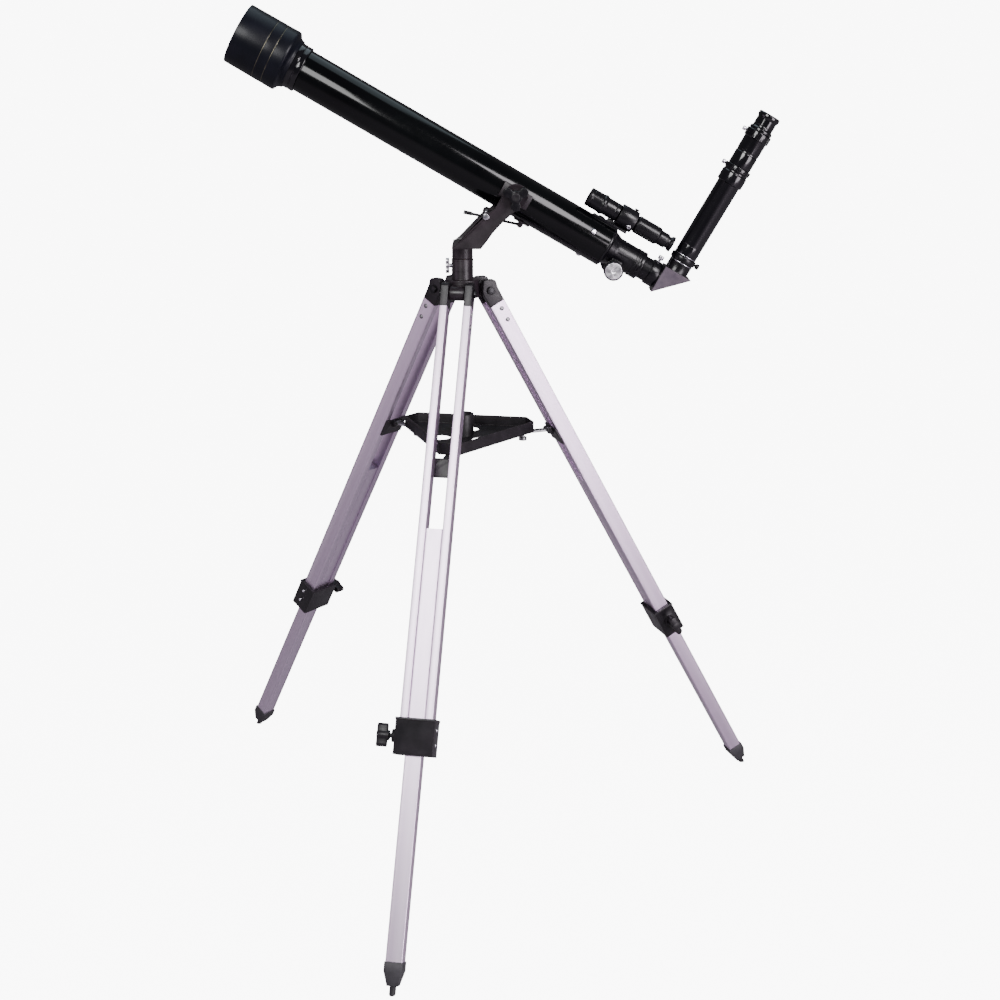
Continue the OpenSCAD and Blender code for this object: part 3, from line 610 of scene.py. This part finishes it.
thumbscrew("finder_foot_nut", TUBE @ shift(-TUBE_R - 0.1, 0, NUT_STATION) @ back, "telescope",
           black_rod, 2.5, 2, 5, 1.6, ("finder_screws",))
print("eight thumbscrews")

# %% [markdown]
# ## The eyepiece stack
# Erector, Barlow lens and eyepiece are lathe work: long plain barrels between short collars.
# Collars on the real ones are grooved so that fingers don't slip, and the eyepiece ends in a
# rolled cup. Narrow grooves and flutes are cut into the profile, not drawn as bump, because the
# barrels are seen against white and their outline gives a painted groove away.

# %% Erector, Barlow and eyepiece
erector = turned([(13.5, 21), (15.87, 21), (15.87, 43.4), (16.65, 43.4), (16.65, 60),
                  (16.4, 60.6), (16.65, 61.2), (16.65, 161), (19, 162.2), (19, 176.8),
                  (17.9, 178.4), (17.9, 181), (19.4, 182), (19.4, 187.5), (19, 188), (15.93, 188),
                  (15.93, 158), (14.5, 157), (14.5, 60), (13.5, 58), (13.5, 21)], 0.3, 96)
fluted(erector, 182.2, 187.4, 19.2, 0.4, 0.15)
settle(erector, "erector_barrel", STACK, "erector", barrel_black, ("erector_tube",))
barlow = turned([(12.5, 160), (15.87, 160), (15.87, 188.4), (16.8, 188.6), (16.8, 208),
                 (16.2, 208.8), (16.2, 211.2), (16.8, 212), (16.8, 231), (18.6, 232), (18.6, 242),
                 (18, 243), (15.93, 243), (15.93, 216), (12.5, 214), (12.5, 160)], 0.25, 96)
fluted(barlow, 232.4, 241.8, 18.4, 0.4, 0.15)
settle(barlow, "barlow_barrel", STACK, "barlow", barrel_black, ("barlow_body",))
eyepiece = turned([(11, 219), (15.87, 219), (15.87, 243.4), (17, 243.5), (17, 247), (14.8, 248.8),
                   (14.7, 251), (14.4, 251.6), (14.7, 252.2), (14.6, 262), (15.6, 263.6),
                   (16.2, 265.6), (16.2, 268.5), (15, 270.4), (9, 270.4), (6.5, 266),
                   (6.5, 262.5), (11, 262), (11, 219)], 0.25, 96)
fluted(eyepiece, 243.7, 246.8, 16.8, 0.35, 0.12)
settle(eyepiece, "eyepiece_barrel", STACK, "eyepiece", barrel_black, ("eyepiece_body",))
for label, body, radius, low in (("erector", "erector", 16.72, 44.2),
                                 ("socket", "diagonal", 17.28, 33)):
    ring = turned([(radius - 0.5, low), (radius, low), (radius, low + 0.9),
                   (radius - 0.5, low + 0.9), (radius - 0.5, low)], 0.1)
    settle(ring, label + "_bright_edge", STACK, body, plated)
print("stack turned")

# %% [markdown]
# ## The focuser
# Its body is a moulding: a plug inside the tube, a waist and a housing for the pinion. The CAD
# copy keeps that shape and only needs its edges rounded, which a Bevel modifier does better than
# hand work on such a form. The knobs are fluted mouldings with a faced aluminium cap pressed in.

# %% Focuser, drawtube and focus knobs
softened("focuser_body", "telescope", fitting_abs, 0.45)
softened("drawtube", "draw", fitting_abs, 0.2)
KNOB_IN, KNOB_OUT, CAP_R = 24, 42, 12.2
for side, label in ((-1, "near"), (1, "far")):
    to_side = turn(90 if side < 0 else -90, "X")  # local Z to -Y or +Y
    place = axes(Vector((1, 0, 0)), ACROSS, UPRIGHT, pinion_at) @ to_side
    grip = turned([(2.7, KNOB_IN), (8, KNOB_IN), (8, 28), (13.4, 28.6), (14, 29.4), (14, 40.8),
                   (13.4, 41.7), (CAP_R, 41.7), (CAP_R, 40.9), (2.7, 40.9), (2.7, KNOB_IN)], 0.25,
                  96)
    fluted(grip, 29.6, 40.7, 13.7, 0.45, 0.15)
    settle(grip, label + "_focus_knob", place, "pinion", fitting_abs, ("focus_knobs",))
    cap = turned([(11.9, 40.4), (12.05, 41.5), (11.4, 41.95), (3.2, 41.95), (2.6, 41.6),
                  (1.2, 41.6)], 0.15, 96)
    settle(cap, label + "_focus_knob_cap", place, "pinion", faced)
print("focus knobs ride on pinion")

# %% [markdown]
# Three plated screws hold the focuser in the tube, spaced evenly but off the vertical, and a
# grooved collar ends its body. Both are turned, like the rest.

# %% Focuser trim: the bright screws and the end collar
SCREW_STATION = 561
SCREW_ANGLES = (68, 188, 308)
for number, angle in enumerate(SCREW_ANGLES):
    head = turned([(4.1, 0.02), (4.1, 0.9), (3.4, 1.9), (2.2, 2.5), (0.9, 2.55), (0.8, 1.6)], 0.2,
                  32)
    place = TUBE @ turn(angle, "Z") @ shift(-TUBE_R, 0, SCREW_STATION) @ back
    settle(head, f"focuser_screw_{number}", place, "telescope", plated, ("focuser_screws",))
collar = turned([(20.1, 634), (20.9, 634), (20.9, 637), (20.3, 637.5), (20.3, 639), (20.9, 639.5),
                 (20.9, 641.4), (20.1, 641.4), (20.1, 634)], 0.2)
fluted(collar, 633.9, 637, 20.6, 0.3, 0.1)
settle(collar, "focuser_end_collar", TUBE, "telescope", fitting_abs)
print("focuser trim done")

# %% [markdown]
# ## The prism diagonal
# A right-angle prism sits in a black moulding between two pressed side plates. The plates show a
# rim round a slightly sunken face. Inset does exactly that: the outer face is inset by the rim's
# width and pushed in, on a copy of the CAD plates.

# %% Prism diagonal


def sunken_plates(obj):
    """Gives both side plates a raised rim."""
    outer = 19.4
    choose(obj, lambda centre, normal: abs(centre.y) > outer and abs(normal.y) > 0.9)
    bpy.ops.mesh.inset(thickness=1.7 * MM, depth=-0.45 * MM)


softened("diagonal_side_plates", "diagonal", plate_grey, 0.2, 2, sunken_plates)
softened("diagonal_housing", "diagonal", fitting_abs, 0.4)
print("diagonal done")

# %% [markdown]
# ## The finder
# A toy-sized telescope of three barrels that step down to the eye. Its bracket is one moulding:
# foot, web and ring. The barrels are turned again for their fine grooves, the bracket is softened.

# %% Finder
finder = turned([(11.8, 532), (13.5, 532), (13.5, 536), (13.2, 536.5), (13.2, 537.5), (13.5, 538),
                 (13.5, 552.6), (14.6, 554.4), (14.6, 557), (12.9, 560), (12.9, 574),
                 (12.5, 574.5), (12.9, 575), (12.9, 580), (10.6, 583), (10.6, 609), (12.9, 612),
                 (12.9, 646), (10.6, 649), (10.6, 661), (8.7, 662), (8.7, 665), (10.9, 667),
                 (11.5, 670.8), (8, 671.2), (5.5, 668), (5.5, 658.2), (8.2, 658), (8.2, 620),
                 (9.4, 560), (11.8, 553), (11.8, 532)], 0.3, 96)
fluted(finder, 613, 645, 12.7, 0.3, 0.12)
settle(finder, "finder_barrel", FINDER, "telescope", fitting_abs, ("finder_tube",))
softened("finder_bracket", "telescope", fitting_abs, 0.4)
print("finder done")

# %% [markdown]
# ## Yoke, head and knobs
# The yoke is a die casting, so its arms have a thin rim round a flat field, and every edge is
# drafted and soft. The field is an inset on the CAD copy. The neck shows two turned grooves
# where the head and the yoke meet, added as narrow rings.

# %% Yoke and head
ARM_FACE = 37.4


def cast_arms(obj):
    """Leaves a rim round the arms' outer faces."""
    choose(obj, lambda centre, normal: abs(centre.y) > ARM_FACE and abs(normal.y) > 0.95)
    bpy.ops.mesh.inset(thickness=2.2 * MM, depth=-0.5 * MM)


softened("yoke", "mount", casting, 0.7, 3, cast_arms)
softened("tripod_head", "stand", casting, 0.6, 3)
softened("altitude_bosses", "telescope", casting, 0.5)
softened("rod_bracket", "telescope", casting, 0.4)
for number, (body, low) in enumerate((("stand", 868.5), ("stand", 883.2), ("mount", 888.2))):
    bead_r = 15.6 if body == "stand" else 15.1
    bead = turned([(bead_r - 0.6, low), (bead_r + 0.25, low + 0.3), (bead_r + 0.25, low + 1.3),
                   (bead_r - 0.6, low + 1.6), (bead_r - 0.6, low)], 0.2)
    settle(bead, f"neck_bead_{number}", Matrix.Identity(4), body, casting)
print("yoke and head done")

# %% [markdown]
# The knobs are moulded with three lobes for a firm turn, so they take a wider radius than the
# plated and blackened steel pins, whose edges are only broken.

# %% Altitude knobs, lock screw, rod and pins
for label in ("near", "far"):
    softened(label + "_altitude_knob", label + "_knob", fitting_abs, 0.8, 3)
    side = -1 if label == "near" else 1
    place = shift(pivot.x / MM, 0, pivot.z / MM) @ turn(90 if side < 0 else -90, "X")
    cap = turned([(6.2, 52.6), (6.2, 53.1), (5.4, 53.6), (2.4, 53.7), (2.2, 53.1), (0.8, 53.1)],
                 0.2, 48)
    settle(cap, label + "_altitude_knob_cap", place, label + "_knob", nylon)
softened("azimuth_lock_screw", "lock_screw", plated, 0.25, 2)
softened("rod_swivel", "mount", plated, 0.3)
softened("slow_motion_rod", "rod", black_rod, 0.25)
softened("hinge_bolts", "stand", black_rod, 0.4)
print("knobs and pins done")

# %% [markdown]
# ## Legs
# Each leg is two extruded rails with an inner leg between them. An extrusion has rounded corners
# and shallow lines along its faces where the die steps. Starting from a cube, the four long edges
# are bevelled, bisect marks both sides of a line, and the strip between is extruded inwards.

# %% Extruded bars with die lines
LEG_BODY = {leg: leg + "_leg" for leg in LEGS}
LINE_HALF, LINE_DEEP = 0.3, 0.35


def extrusion(low, high, corner, lines):
    """A bar between two corners in millimetres. lines gives (axis, places): grooves on both
    faces that look along the other cross axis."""
    clear()
    middle = (Vector(low) + Vector(high)) / 2 * MM
    bpy.ops.mesh.primitive_cube_add(size=1, location=middle)
    obj = bpy.context.object
    obj.scale = (Vector(high) - Vector(low)) * MM
    bpy.ops.object.transform_apply()
    edit(obj, "EDGE")
    mesh = bmesh.from_edit_mesh(obj.data)
    for edge in mesh.edges:
        along = edge.verts[0].co - edge.verts[1].co
        edge.select_set(abs(along.z) > 0.99 * along.length)
    bmesh.update_edit_mesh(obj.data)
    bpy.ops.mesh.bevel(offset=corner * MM, segments=3)
    bpy.ops.mesh.select_mode(type="FACE")
    for axis, places in lines:
        face_axis = 1 - axis
        normal = [0, 0, 0]
        normal[axis] = 1
        for at in places:
            for edge_at in (at - LINE_HALF, at + LINE_HALF):
                point = [0, 0, 0]
                point[axis] = edge_at * MM
                bpy.ops.mesh.select_all(action="SELECT")
                bpy.ops.mesh.bisect(plane_co=point, plane_no=normal)
            for sign in (-1, 1):
                bpy.ops.mesh.select_all(action="DESELECT")
                found = choose(obj, lambda centre, facing: abs(centre[axis] - at) < LINE_HALF / 2
                               and facing[face_axis] * sign > 0.9)
                push = [0, 0, 0]
                push[face_axis] = -sign * LINE_DEEP * MM
                if found:
                    bpy.ops.mesh.extrude_region_move(TRANSFORM_OT_translate={"value": push})
    clear()
    return obj


RAIL_TOP, RAIL_END, RAIL_OUT, RAIL_IN, RAIL_HALF = -22, -628, 22.8, 11.8, 11.8
INNER_TOP, INNER_HALF_X, INNER_HALF_Y = -343, 10.8, 11.45
for leg, place in LEGS.items():
    metal = leg_metals[leg]
    for sign, side in ((-1, "a"), (1, "b")):
        ends = sorted((sign * RAIL_IN, sign * RAIL_OUT))
        rail = extrusion((-RAIL_HALF, ends[0], RAIL_END), (RAIL_HALF, ends[1], RAIL_TOP), 1.1,
                         [(0, (-9.3, 9.3))])
        settle(rail, f"{leg}_rail_{side}", place, LEG_BODY[leg], metal, (leg + "_rails",))
    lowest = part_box(leg + "_inner_leg")[0].z
    print(leg, "inner leg's lower end", round(lowest, 3))
    slope = (place.to_3x3() @ UPRIGHT).z
    drop = INNER_HALF_X * math.sqrt(1 - slope * slope) - place.translation.z / MM
    end = (lowest / MM + drop) / slope
    inner = extrusion((-INNER_HALF_X, -INNER_HALF_Y, end),
                      (INNER_HALF_X, INNER_HALF_Y, INNER_TOP), 1.2,
                      [(0, (-8.2, 8.2)), (1, (-8.8, 8.8))])
    settle(inner, leg + "_inner_leg_extruded", place, leg + "_lower_leg", metal,
           (leg + "_inner_leg",))

# %% [markdown]
# ## Leg fittings
# Brackets and clamps are nylon mouldings with thick lips at their mouths. Rivets hold the rails
# to the brackets, and two screws close each clamp. Small dome heads like these are what the eye
# uses to judge the size of the whole thing, so each is a real turned piece.

# %% Brackets, clamps, knobs, feet, rivets and screws
CLAMP_TOP, CLAMP_LIP = -602, 3.5


def lipped(leg):
    """Makes the shaping step that swells the clamp's upper lip."""
    inward = LEGS[leg].inverted()

    def shape(obj):
        bpy.ops.mesh.select_all(action="SELECT")
        cut = LEGS[leg] @ Vector((0, 0, (CLAMP_TOP - CLAMP_LIP) * MM))
        bpy.ops.mesh.bisect(plane_co=cut, plane_no=LEGS[leg].to_3x3() @ UPRIGHT)
        bpy.ops.mesh.select_all(action="DESELECT")

        def rim(centre, normal):
            here, facing = inward @ (centre * MM), inward.to_3x3() @ normal
            outside = abs(here.y) > 26.5 * MM or abs(here.x) > 16 * MM
            return here.z > (CLAMP_TOP - CLAMP_LIP) * MM and outside and abs(facing.z) < 0.2

        choose(obj, rim)
        bpy.ops.mesh.extrude_region_shrink_fatten(TRANSFORM_OT_shrink_fatten={"value": 0.9 * MM})

    return shape


RIVET_STATIONS = (-31.5, -50.5)
CLAMP_SCREW_STATIONS = (-616, -636)
CLAMP_SIDE = 27
for leg, place in LEGS.items():
    softened(leg + "_hinge_bracket", LEG_BODY[leg], nylon, 0.7, 3)
    softened(leg + "_clamp", LEG_BODY[leg], nylon, 0.5, 2, lipped(leg))
    softened(leg + "_clamp_knob", leg + "_knob", nylon, 0.6, 2)
    softened(leg + "_foot", leg + "_lower_leg", rubber, 0.8, 2)
    softened(leg + "_brace_bracket", LEG_BODY[leg], nylon, 0.5, 2)
    softened(leg + "_brace", leg + "_brace_bar", strip_steel, 0.3, 2)
    for sign in (-1, 1):
        facing = turn(90 if sign < 0 else -90, "X")
        for number, station in enumerate(RIVET_STATIONS):
            head = turned([(3.3, -0.1), (3.3, 0.3), (2.9, 1.0), (2.0, 1.6), (1.0, 1.85),
                           (0.3, 1.9)], 0.1, 24)
            spot = place @ shift(2, sign * RAIL_OUT, station) @ facing
            side = "a" if sign < 0 else "b"
            settle(head, f"{leg}_rivet_{side}{number}", spot, LEG_BODY[leg], strip_steel)
    for number, station in enumerate(CLAMP_SCREW_STATIONS):
        head = turned([(2.6, -0.2), (2.6, 1.0), (2.1, 1.6), (1.3, 1.75), (1.2, 1.1), (0.4, 1.1)],
                      0.12, 24)
        spot = place @ shift(3, CLAMP_SIDE, station) @ turn(-90, "X")
        settle(head, f"{leg}_clamp_screw_{number}", spot, LEG_BODY[leg], plated)
print("leg fittings done")

# %% [markdown]
# ## Accessory tray
# A shallow nylon dish with three cut corners, three eyepiece holes and a hub. The walls are thin,
# so their rim gets only a small radius.

# %% Tray
softened("accessory_tray", "tray", nylon, 0.45, 2)
print("tray rides on tray")

# %% [markdown]
# ## Parts that stay as the CAD made them
# Lenses, the prism, the spindle and the pinion are exact already and mostly hidden. They keep
# their CAD meshes and only get a finish.

# %% Finishes on the CAD parts that show
KEPT = {"objective_lenses": glass, "erector_lens": glass, "barlow_lens": glass,
        "eyepiece_lens": glass, "finder_lenses": glass, "diagonal_prism": glass,
        "azimuth_spindle": brass, "pinion_shaft": brass}
for node, finish in KEPT.items():
    part = frame["nodes"][node]
    part.data.materials.clear()
    part.data.materials.append(finish)
print("kept", len(KEPT), "CAD parts")

# %% [markdown]
# ## Studio
# A sweep under soft boxes, as in a product studio. The sweep is one plane whose back edge is
# extruded up and rounded, so floor and wall have no seam. It glows for the camera alone: the
# backdrop is white, while black parts still reflect a dim room and keep their depth.

# %% Floor and lights
clear()
FLOOR = 14
WALL = 5
bpy.ops.mesh.primitive_plane_add(size=FLOOR, location=(0, 3, 0))
sweep = bpy.context.object
bpy.ops.object.transform_apply()
edit(sweep, "EDGE")
mesh = bmesh.from_edit_mesh(sweep.data)
for edge in mesh.edges:
    edge.select_set(all(vert.co.y > FLOOR / 2 for vert in edge.verts))
bmesh.update_edit_mesh(sweep.data)
bpy.ops.mesh.extrude_region_move(TRANSFORM_OT_translate={"value": (0, 0, WALL)})
bpy.ops.mesh.select_all(action="DESELECT")
mesh = bmesh.from_edit_mesh(sweep.data)
for edge in mesh.edges:
    edge.select_set(all(vert.co.y > FLOOR / 2 and vert.co.z < 0.01 for vert in edge.verts))
bmesh.update_edit_mesh(sweep.data)
bpy.ops.mesh.bevel(offset=2.5, segments=16)
clear()
paper = bpy.data.materials.new("paper_studio_sweep")
paper.use_nodes = True
paper_shader = paper.node_tree.nodes["Principled BSDF"]
paper_shader.inputs["Roughness"].default_value = 0.9
paper_shader.inputs["Specular IOR Level"].default_value = 0.1
paper_shader.inputs["Base Color"].default_value = srgb("#8a838b")
paper_shader.inputs["Emission Color"].default_value = srgb("#ffffff")
paper_tree = paper.node_tree
seen = add(paper_tree, "LightPath").outputs["Is Camera Ray"]
DIM, BRIGHT = 0.1, 9
glow = add(paper_tree, "MapRange", {"Value": seen, "To Min": DIM, "To Max": BRIGHT})
paper_tree.links.new(glow.outputs["Result"], paper_shader.inputs["Emission Strength"])
sweep.data.materials.append(paper)
sweep.name = "studio_sweep"
bpy.ops.object.select_all(action="DESELECT")
sweep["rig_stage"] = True

world = bpy.data.worlds.new("studio")
world.use_nodes = True
world.node_tree.nodes["Background"].inputs["Color"].default_value = srgb("#e8e8ee")
world.node_tree.nodes["Background"].inputs["Strength"].default_value = 0.2
bpy.context.scene.world = world


def softbox(name, at, aim, width, power, tint="#ffffff"):
    """A square area light at a place, aimed at another."""
    lamp = bpy.data.lights.new(name, "AREA")
    lamp.shape = "SQUARE"
    lamp.size = width
    lamp.energy = power
    lamp.color = srgb(tint)[:3]
    lamp_object = bpy.data.objects.new(name, lamp)
    lamp_object.location = at
    lamp_object.rotation_euler = (Vector(aim) - Vector(at)).to_track_quat("-Z", "Y").to_euler()
    bpy.context.scene.collection.objects.link(lamp_object)


softbox("key", (1.9, -2.3, 2.4), (0.1, 0, 0.6), 1.3, 130, "#fffaff")
softbox("front", (-0.75, -2.1, 2.1), (0, -0.2, 0.5), 1.0, 60)
softbox("card", (1.9, -1.9, 0.5), (0.1, 0, 0.75), 1.2, 60, "#fff6ff")
softbox("fill", (-2.6, -1.0, 0.8), (0, 0, 0.6), 1.5, 14, "#e6d2e8")
softbox("top", (0.2, 0.8, 3.4), (0, 0, 0.6), 2.0, 22, "#dff4ff")
print("studio lit")

# %% Print both boxes and finish
look_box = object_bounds()
for label, box in (("cad", cad_box), ("visual", look_box)):
    print(label, [[round(v, 4) for v in c] for c in box])
